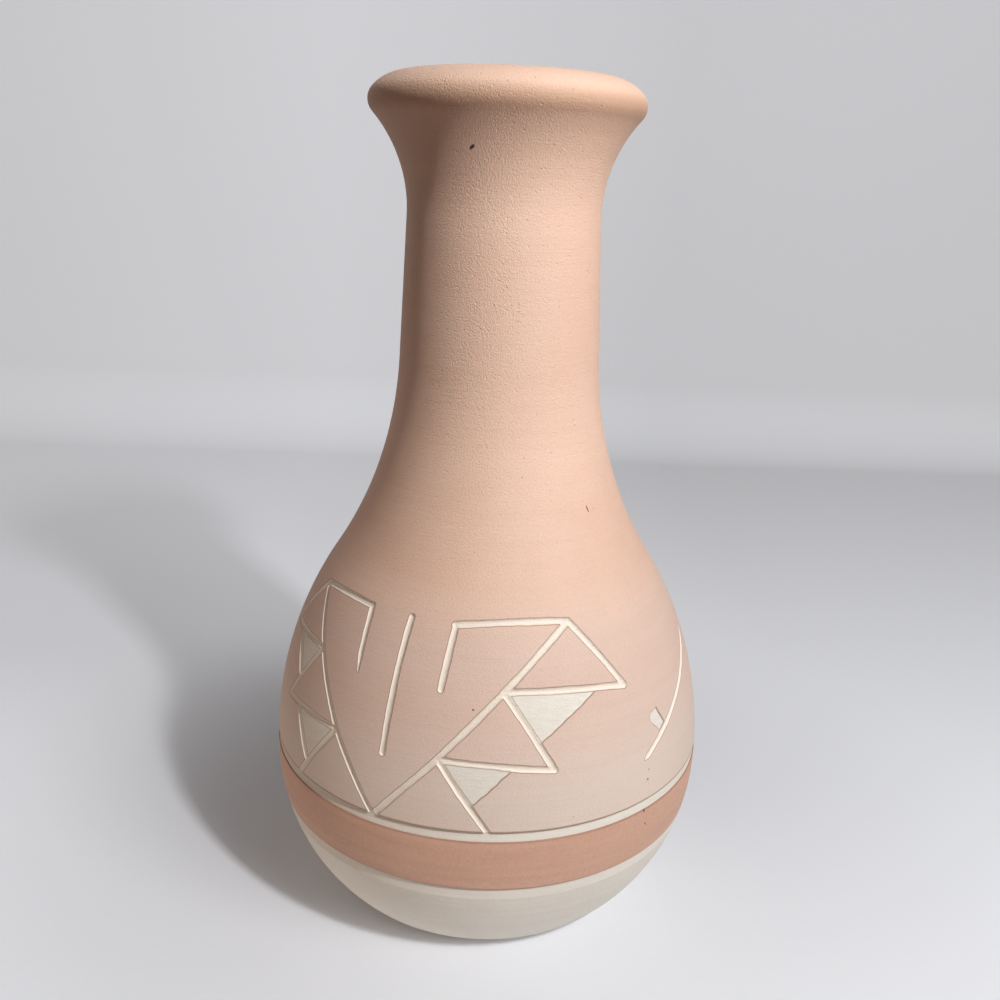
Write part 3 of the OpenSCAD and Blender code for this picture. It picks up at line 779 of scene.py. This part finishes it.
def band_material(colours, low, high, marks):
    """Iron-red slip painted on the turning wheel: matt, a little streaky along the band, with thin dark edges
    of painted shade between its lower and upper height."""
    material, tree, place = fresh("matt_terracotta_slip")
    height = add(tree, "SeparateXYZ", None, {"Vector": place}).outputs["Z"]
    drawn_out = add(tree, "Mapping", None, {"Vector": place, "Scale": (1, 1, 16)})
    streak = add(tree, "TexNoise", None,
                 {"Vector": drawn_out, "Scale": 1000 / 36, "Detail": 4.0, "Roughness": 0.6})
    grain = add(tree, "TexNoise", None,
                {"Vector": place, "Scale": 1000 / 0.7, "Detail": 2.0, "Roughness": 0.6})
    # Painted shade: thin dark edges near the band's lower and upper height, where the bevel and the ring fall
    # away
    near_low, near_high = (
        add(tree, "MapRange", None,
            {"Value": height, "From Min": z + inward * 0.5, "From Max": z + inward * 0.15, "To Max": 0.6})
        for z, inward in ((low, MM), (high, -MM)))
    edge = add(tree, "Math", {"operation": "MAXIMUM"}, {0: near_low, 1: near_high})
    shade = layered(tree, colours.band, ("SOFT_LIGHT", 0.3, streak), ("OVERLAY", 0.16, grain),
                    ("MULTIPLY", edge, colours.painted_shade),
                    ("MIX", in_marks(tree, place, marks), colours.pinhole))
    normal = bumped(tree, (0.4, 0.14, grain))
    return surfaced(material, {"Base Color": shade, "Roughness": 0.6, "IOR": 1.5,
                               "Specular IOR Level": 0.5, "Normal": normal})


def glaze_material(colours):
    """Clear glaze over cream clay: wet gloss with a soft waviness and a fine crackle."""
    material, tree, place = fresh("clear_gloss_glaze")
    wave = add(tree, "TexNoise", None,
               {"Vector": place, "Scale": 1000 / 9, "Detail": 2.0, "Roughness": 0.5})
    crackle = add(tree, "TexVoronoi", {"feature": "DISTANCE_TO_EDGE"}, {"Vector": place, "Scale": 1000 / 5})
    crack = add(tree, "MapRange", None,
                {"Value": crackle, "From Min": 0.0, "From Max": 0.03, "To Min": 0.3, "To Max": 0.5})
    shade = layered(tree, colours.glaze, ("OVERLAY", 0.5, crack), ("SOFT_LIGHT", 0.3, wave))
    normal = bumped(tree, (0.25, 0.5, wave))
    return surfaced(material, {"Base Color": shade, "Roughness": 0.12, "IOR": 1.5, "Normal": normal})


def seen_directly(tree):
    """1 where a ray from the camera, or one bent or mirrored by a piece, meets the surface."""
    path = add(tree, "LightPath")
    gloss = add(tree, "Math", {"operation": "MAXIMUM"},
                {0: path.outputs["Is Camera Ray"], 1: path.outputs["Is Glossy Ray"]})
    return add(tree, "Math", {"operation": "MAXIMUM"}, {0: gloss, 1: path.outputs["Is Transmission Ray"]})


def paper_material(colours):
    """Seamless paper: pale and matt. The camera sees it lifted a little away from the vase, most on
    the left, as in a lit tent. The real sheet is small and lies in a dim room, so the part near the
    vase throws most of the light back on it."""
    material, tree, place = fresh("seamless_paper")
    seen = seen_directly(tree)
    spot = add(tree, "SeparateXYZ", None, {"Vector": place})
    away = add(tree, "VectorMath", {"operation": "LENGTH"}, {0: place})
    fibre = add(tree, "TexNoise", None,
                {"Vector": place, "Scale": 1000 / 1.5, "Detail": 3.0, "Roughness": 0.6})

    # What the sheet throws back grows dim with distance, a little less far behind
    reach = add(tree, "MapRange", EASED, {"Value": away, "From Min": 0.07, "From Max": 0.15})
    behind = add(tree, "MapRange", None,
                 {"Value": spot.outputs["Y"], "From Min": 0.2, "From Max": 0.42,
                  "To Min": 1.0, "To Max": 0.75})
    dimmed = add(tree, "Math", {"operation": "MULTIPLY"}, {0: reach, 1: behind})
    bounce = layered(tree, colours.paper, ("MIX", dimmed, colours.paper_dim))
    shade = layered(tree, colours.paper, ("SOFT_LIGHT", 0.06, fibre))
    sheet = layered(tree, bounce, ("MIX", seen, shade))

    # The lift falls from left to right, starts near the vase and grows a little up the wall
    lift = add(tree, "MapRange", None,
               {"Value": spot.outputs["X"], "From Min": -0.12, "From Max": 0.12,
                "To Min": 0.33, "To Max": 0.18})
    far = add(tree, "MapRange", EASED, {"Value": away, "From Min": 0.05, "From Max": 0.18, "To Min": 0.26})
    wall = add(tree, "MapRange", None,
               {"Value": spot.outputs["Z"], "From Min": 0.0, "From Max": 0.06, "To Max": 0.045})
    lifted = add(tree, "Math", {"operation": "MULTIPLY_ADD"}, {0: lift, 1: far, 2: wall})
    glow = add(tree, "Math", {"operation": "MULTIPLY"}, {0: lifted, 1: seen})
    return surfaced(material, {"Base Color": sheet, "Roughness": 0.6, "IOR": 1.45,
                               "Specular IOR Level": 0.1, "Emission Color": colours.paper,
                               "Emission Strength": glow})


# Mesh columns round the axis of the pieces without ornament
POT_COLUMNS, BAND_COLUMNS, LINING_COLUMNS = 420, 720, 300


class VASE_OT_pot(bpy.types.Operator):
    """Bare clay pot with foot, bevel and ring"""
    bl_idname = "vase.pot"
    bl_label = "Clay pot"

    def execute(self, context):
        """Turns a profile: foot and base, bevel, bed of the band, ring groove, bed of the slip over
        the rim, and bed of the glaze down to the floor."""
        f = vase_form(context.scene.vase_sizes)
        # Rows lie close over the undercut and the rounded edge outside the standing ring
        edge = f.foot[f.foot[:, 2] <= 0][-1, 0]
        stretches = ((0, edge), (edge + 0.2, edge + 7.5), (edge + 8, f.foot[-1, 0]))
        foot, _ = at(f.foot, np.concatenate([np.linspace(*stretch, 40) for stretch in stretches]))
        bevel_top = f.belly_c + (f.belly_r - f.bevel_step) * np.array(
            [math.cos(f.band_low_a), math.sin(f.band_low_a)])
        bevel, _ = line(foot[-1], bevel_top)
        bed = lowered(f.band, 8, f.slip_t)
        # The ring's floor falls from the band's edge to the slip's edge
        share = np.linspace(0, 1, 24)
        ring_a = f.band_top_a + (f.slip_a - f.band_top_a) * share
        ring_n = np.stack([np.cos(ring_a), np.sin(ring_a)], -1)
        deep = f.ring_lip + (f.ring_deep - f.ring_lip) * smooth(share, -0.25, 0.85)
        ring = f.shoulder_c + (f.shoulder_r - deep)[:, None] * ring_n
        under = lowered(f.slip, 70, f.slip_t)
        lining = lowered(f.inside, 60, f.glaze_t)
        lining[-1, 0] = 0.0
        runs = [foot, bevel[1:], bed, ring, under, lining]
        ends = np.cumsum([len(run) for run in runs])
        corners = [ends[0] - 1, ends[1] - 1, ends[1], ends[2] - 1, ends[2], ends[3] - 1, ends[3]]
        turned_piece("pot_clay", np.concatenate(runs), POT_COLUMNS, False, corners,
                     (clay_material(context.scene.vase_colours), "clay", "clay_body"))
        return {"FINISHED"}


class VASE_OT_slip(bpy.types.Operator):
    """Slip coat from the ring over the rim, with the ornament cut in"""
    bl_idname = "vase.slip"
    bl_label = "Slip coat"

    def execute(self, context):
        """Two halves of the coat with the ornament, and above them a plain ring over neck and rim
        between the finished profile and the same profile less the coat's thickness."""
        f = vase_form(context.scene.vase_sizes)
        o = context.scene.vase_ornament
        outer = f.slip[:np.argmax(f.slip[:, 1] * (f.slip[:, 2] > f.neck_top_z))]
        marks = [(on_face(outer, o.speck_z, o.speck_turn), *SPECK),
                 (on_face(outer, o.scratch_z, o.scratch_turn), *SCRATCH)]
        # The rim's height given here is where the painted shade under the rim is deepest
        coat = slip_material(context.scene.vase_colours, f.slip[0, 2] * MM,
                             (f.vase_h - f.rim_drop - RIM_SHADE_DROP) * MM, marks)
        look = (coat, "slip", "peach_slip")
        top = f.shoulder_r * (math.asin((f.slip_rise + ORNAMENT_H) / f.shoulder_r) - f.slip_a)
        seam = o.motif_turn + o.seam_turn
        for k, name in enumerate(("slip_front", "slip_back")):
            self.half(f, o, name, seam + math.pi * (k + 1), top, look)
        face, _ = at(f.slip, np.linspace(top, f.slip[-1, 0], 150))
        back, back_n = at(f.slip, np.linspace(f.slip[-1, 0], top, 50))
        outline = np.concatenate([face, back - f.slip_t * back_n])
        corners = [0, len(face) - 1, len(face), len(outline) - 1]
        turned_piece("slip_neck", outline, o.columns, True, corners, look, seam,
                     dict.fromkeys(GAPS, FAR_MM))
        return {"FINISHED"}

    def half(self, f, o, name, start, top, look):
        """Half of the coat that carries the ornament, as a closed shell. Its face is the finished
        profile less the depth of the cuts along the normal, on a net of triangles. Its back is the same
        net at the coat's thickness. On plain slip the corners have the turned form's own normal."""

        def form(xy):
            rz, n = at(f.slip, xy[..., 1])
            t = start + xy[..., 0] / ROLL_MM
            return around(rz, t), around(n, t)

        net, faces = self.net(o, top, lambda xy: ornament(f, o, form(xy)[0]))
        points, normals = form(net)
        gaps = ornament(f, o, points)
        count = len(points)
        shell = np.concatenate([points - cut_depth(o, gaps)[:, None] * normals,
                                points - f.slip_t * normals])
        sides = np.concatenate([faces[:, [0, 1]], faces[:, [1, 2]], faces[:, [2, 0]]])
        code, back_code = sides @ [count, 1], sides @ [1, count]
        rim = sides[~np.isin(code, back_code)]
        walls = np.stack([rim[:, 1], rim[:, 0], rim[:, 0] + count, rim[:, 1] + count], -1)
        loops = np.concatenate([faces.ravel(), faces[:, ::-1].ravel() + count, walls.ravel()])
        sizes = np.repeat([3, 4], [2 * len(faces), len(walls)])

        # Each kind of sharp edge has its own bit: lines, patches, pinholes, and the borders of face and back
        line_gap, patch_gap, _ = gaps
        on_line, on_patch, on_pit = np.abs(gaps) < ON_EDGE
        creases = np.zeros(2 * count, int)
        creases[:count] = on_line & (patch_gap > -SHARP_INSIDE)
        creases[:count] += 2 * (on_patch & (line_gap > 0)) + 4 * on_pit
        creases[rim.ravel()] |= 8
        creases[rim.ravel() + count] |= 16
        nearest = gaps.min(0)[faces]
        plain = (nearest > -ON_EDGE).all(1) & (nearest.mean(1) > PLAIN_FROM)
        corner_n = np.zeros((len(loops), 3))
        corner_n[:faces.size] = normals[faces.ravel()] * np.repeat(plain, 3)[:, None]
        attributes = {key: np.concatenate([gap, np.full(count, FAR_MM)])
                      for key, gap in zip(GAPS, gaps)}
        finished(name, shell, loops, sizes, creases, look, attributes, corner_n)

    def net(self, o, top, gaps_at):
        """Points and triangles over half of the coat rolled out flat, with mesh lines along the edges of
        the cuts, because a plain grid would leave steps along slanting lines."""
        wide = math.pi * ROLL_MM
        step, loose = o.step / MM, o.loose / MM
        x, y = (np.linspace(0, size, math.ceil(size / step) + 1) for size in (wide, top))
        grid = gaps_at(np.stack(np.meshgrid(x, y), -1))
        edge_x = np.linspace(0, wide, o.columns // 2 + 1)
        edge_y = np.linspace(0, top, math.ceil(top / loose) + 1)
        border = np.concatenate([
            np.column_stack([edge_x[:-1], 0 * edge_x[:-1]]),
            np.column_stack([0 * edge_y[:-1] + wide, edge_y[:-1]]),
            np.column_stack([edge_x[:0:-1], 0 * edge_x[1:] + top]),
            np.column_stack([0 * edge_y[1:], edge_y[:0:-1]])])
        ids = np.arange(len(border))
        parts = [(border, np.column_stack([ids, np.roll(ids, -1)]))]
        for field, levels in zip(grid, (LINE_LEVELS, PATCH_LEVELS, PIT_LEVELS)):
            parts += [level_lines(field, level, x, y) for level in levels]
        for apart, in_patches in ((loose, False), (PATCH_STEP, True)):
            dots = staggered(apart, wide, top)
            line_gap, patch_gap, pit_gap = gaps_at(dots)
            clear = (line_gap > EDGE_CLEAR) & (pit_gap > PIT_CLEAR)
            clear &= patch_gap < -PATCH_STEP if in_patches else patch_gap > EDGE_CLEAR
            parts.append((dots[clear], np.zeros((0, 2), int)))
        first = np.cumsum([0] + [len(p) for p, _ in parts])
        net, _, faces, *_ = delaunay_2d_cdt(
            np.concatenate([p for p, _ in parts]).tolist(),
            np.concatenate([pairs + n for (_, pairs), n in zip(parts, first)]).tolist(), [], 0, 1e-3, False)
        return np.array(net), np.array(faces)


class VASE_OT_band(bpy.types.Operator):
    """Darker band between ring and bevel"""
    bl_idname = "vase.band"
    bl_label = "Coloured band"

    def execute(self, context):
        """A closed ring between the finished profile and the same profile less the slip's thickness,
        with edges rounded by 0.3 mm: the depth grows as the circle of the rounding does."""
        f = vase_form(context.scene.vase_sizes)
        end, edge = f.band[-1, 0], 0.3
        s = np.unique(np.concatenate([np.linspace(0, edge, 7), np.linspace(edge, end - edge, 50),
                                      np.linspace(end - edge, end, 7)]))
        face, face_n = at(f.band, s)
        near = np.clip(1 - np.minimum(s, end - s) / edge, 0, 1)
        face = face - (edge * (1 - np.sqrt(1 - near ** 2)))[:, None] * face_n
        back, back_n = at(f.band, np.linspace(end, 0, 10))
        outline = np.concatenate([face, back - f.slip_t * back_n])
        low, high = np.sort(f.band[[0, -1], 2]) * MM
        rising = f.band[f.band[:, 2].argsort()]
        marks = [(on_face(rising, high - down * MM, math.radians(t)), lean, half)
                 for down, t, lean, half in BAND_MARKS]
        turned_piece("band_slip", outline, BAND_COLUMNS, True, [len(face), len(outline) - 1],
                     (band_material(context.scene.vase_colours, low, high, marks), "band", "terracotta_band"))
        return {"FINISHED"}


class VASE_OT_lining(bpy.types.Operator):
    """Clear glaze inside the vase"""
    bl_idname = "vase.lining"
    bl_label = "Glaze lining"

    def execute(self, context):
        """A closed skin: the inside profile down to the floor's middle and its bed back up. Both meet
        the axis, so the skin is turned as one bag whose ends are the floor's two faces."""
        f = vase_form(context.scene.vase_sizes)
        face, _ = at(f.inside, np.linspace(0, f.inside[-1, 0], 190))
        bed = lowered(f.inside, 90, f.glaze_t)
        face[-1, 0] = bed[-1, 0] = 0.0
        corners = [len(bed) - 1, len(bed)]
        turned_piece("lining_glaze", np.concatenate([bed[::-1], face]), LINING_COLUMNS, False, corners,
                     (glaze_material(context.scene.vase_colours), "glaze", "inner_glaze"))
        return {"FINISHED"}


# Lamps: degrees round from the front and up, distance, width and height in m, and for the card also the
# height in mm that it is aimed at and the spread of its grid in degrees
LAMPS = {"key": (36.7, 39.9, 0.514, 0.03, 0.06), "soft": (50, 34, 1.5, 0.7, 0.7),
         "top": (0, 84, 1.4, 1.0, 1.0), "left": (-85, 12, 1.5, 0.9, 0.9),
         "card": (-55, 3, 0.6, 0.3, 0.1, 20, 24)}
WARM_LAMPS = ("left", "card")


class VASE_OT_stage(bpy.types.Operator):
    """Paper sweep, lights and camera"""
    bl_idname = "vase.stage"
    bl_label = "Stage"

    def execute(self, context):
        """Sweep, lamps, dim room and camera."""
        scene = context.scene
        self.sweep(scene)
        for name, settings in LAMPS.items():
            tint = scene.vase_colours.fill[:3] if name in WARM_LAMPS else (1, 1, 1)
            self.lamp(scene, name, tint, getattr(scene.vase_stage, name), *settings)
        self.room(scene)
        self.camera(scene)
        scene.view_settings.view_transform = "Standard"
        return {"FINISHED"}

    def sweep(self, scene):
        """Floor, quarter circle and wall as one profile carried along X. Sizes are in metres."""
        bend = np.radians(np.linspace(0, 90, 25))[:, None]
        front, near, back, r, tall, wide = -2.5, -0.6, 0.43, 0.05, 1.6, 3.0
        profile = np.concatenate([
            [[front, 0.0]], np.column_stack([np.linspace(near, back, 30), np.zeros(30)]),
            np.concatenate([back + r * np.sin(bend), r - r * np.cos(bend)], 1)[1:],
            [[back + r, tall]]])
        x = np.linspace(-wide, wide, 61)
        grid = np.stack(np.broadcast_arrays(x[None], profile[:, :1], profile[:, 1:]), -1)
        index = np.arange(grid[..., 0].size).reshape(grid.shape[:2])
        quads = np.stack([index[:-1, :-1], index[:-1, 1:], index[1:, 1:], index[1:, :-1]], -1)
        mesh = bpy.data.meshes.new("sweep")
        mesh.from_pydata(grid.reshape(-1, 3).tolist(), [], quads.reshape(-1, 4).tolist())
        mesh.polygons.foreach_set("use_smooth", np.ones(len(mesh.polygons), bool))
        mesh.materials.append(paper_material(scene.vase_colours))
        sweep = bpy.data.objects.new("sweep", mesh)
        scene.collection.objects.link(sweep)

    def room(self, scene):
        """Room that hardly lights the vase and looks pale where it is seen past the sweep."""
        world = bpy.data.worlds.new("room")
        world.use_nodes = True
        tree = world.node_tree
        tree.nodes.clear()
        light = add(tree, "Background", None, {"Color": (1, 1, 1, 1), "Strength": 0.01})
        seen = add(tree, "Background", None, {"Color": scene.vase_colours.paper, "Strength": 0.8})
        mixed = add(tree, "MixShader", None, {0: seen_directly(tree), 1: light, 2: seen})
        add(tree, "OutputWorld", None, {"Surface": mixed})
        scene.world = world

    def camera(self, scene):
        """Camera that looks ahead and down and leans about its line of sight."""
        stage = scene.vase_stage
        pitch, yaw, roll = stage.camera_pitch, stage.camera_yaw, stage.camera_roll
        ahead = Vector((math.sin(yaw) * math.cos(pitch), math.cos(yaw) * math.cos(pitch), -math.sin(pitch)))
        right = ahead.cross(Vector((0, 0, 1))).normalized()
        up = right.cross(ahead)
        lean = math.cos(roll) * right + math.sin(roll) * up
        rise = math.cos(roll) * up - math.sin(roll) * right
        data = bpy.data.cameras.new("camera")
        data.sensor_width, data.lens = 36.0, stage.lens
        data.clip_start, data.clip_end = 0.01, 50.0
        camera = bpy.data.objects.new("camera", data)
        camera.matrix_world = Matrix.Translation((0, -stage.camera_back, stage.camera_up)) @ Matrix(
            (lean, rise, -ahead)).transposed().to_4x4()
        scene.collection.objects.link(camera)
        scene.camera = camera

    def lamp(self, scene, name, tint, share, azimuth, elevation, distance, wide, tall, aim=90, spread=180):
        """Area light at an azimuth, elevation and distance, aimed at a height on the axis. Its power
        lights a face turned to it at a share of the level where colours render as written: pi squared
        times the distance squared, less for a grid that keeps the light within half its spread e:
        times sin e ^ 2 - (e - sin e cos e) / tan e."""
        data = bpy.data.lights.new(name, "AREA")
        data.shape, data.color = "RECTANGLE", tint
        data.size, data.size_y = wide, tall
        data.spread = math.radians(spread)
        e = data.spread / 2
        grid = math.sin(e) ** 2 - (e - math.sin(e) * math.cos(e)) / math.tan(e)
        data.energy = share * math.pi ** 2 * distance ** 2 * grid
        a, e = math.radians(azimuth), math.radians(elevation)
        away = Vector((math.sin(a) * math.cos(e), -math.cos(a) * math.cos(e), math.sin(e)))
        lamp = bpy.data.objects.new(name, data)
        lamp.location = Vector((0, 0, aim * MM)) + distance * away
        lamp.rotation_mode = "QUATERNION"
        lamp.rotation_quaternion = (-away).to_track_quat("-Z", "Y")
        scene.collection.objects.link(lamp)


class VASE_PT_panel(bpy.types.Panel):
    """Lists the pieces and their sizes and colours"""
    bl_idname = "VASE_PT_panel"
    bl_label = "Vase"
    bl_space_type = "VIEW_3D"
    bl_region_type = "UI"
    bl_category = "Vase"

    def draw(self, context):
        """Buttons first, then every property of each group."""
        for operator in OPERATORS:
            self.layout.operator(operator.bl_idname)
        for group in GROUPS:
            box = self.layout.box()
            for key in group.__annotations__:
                box.prop(getattr(context.scene, GROUPS[group]), key)


GROUPS = {VaseSizes: "vase_sizes", VaseOrnament: "vase_ornament",
          VaseColours: "vase_colours", VaseStage: "vase_stage"}
OPERATORS = (VASE_OT_pot, VASE_OT_slip, VASE_OT_band, VASE_OT_lining, VASE_OT_stage)


def register():
    """Registers the classes and hangs the groups of properties on the scene."""
    for cls in (*GROUPS, *OPERATORS, VASE_PT_panel):
        bpy.utils.register_class(cls)
    for group, key in GROUPS.items():
        setattr(bpy.types.Scene, key, PointerProperty(type=group))


def unregister():
    """Takes the properties and classes away again."""
    for key in GROUPS.values():
        delattr(bpy.types.Scene, key)
    for cls in reversed((*GROUPS, *OPERATORS, VASE_PT_panel)):
        bpy.utils.unregister_class(cls)


def main():
    """Builds the vase piece by piece, then the stage."""
    register()
    bpy.ops.vase.pot()
    bpy.ops.vase.slip()
    bpy.ops.vase.band()
    bpy.ops.vase.lining()
    bpy.ops.vase.stage()


if __name__ == "__main__":
    main()
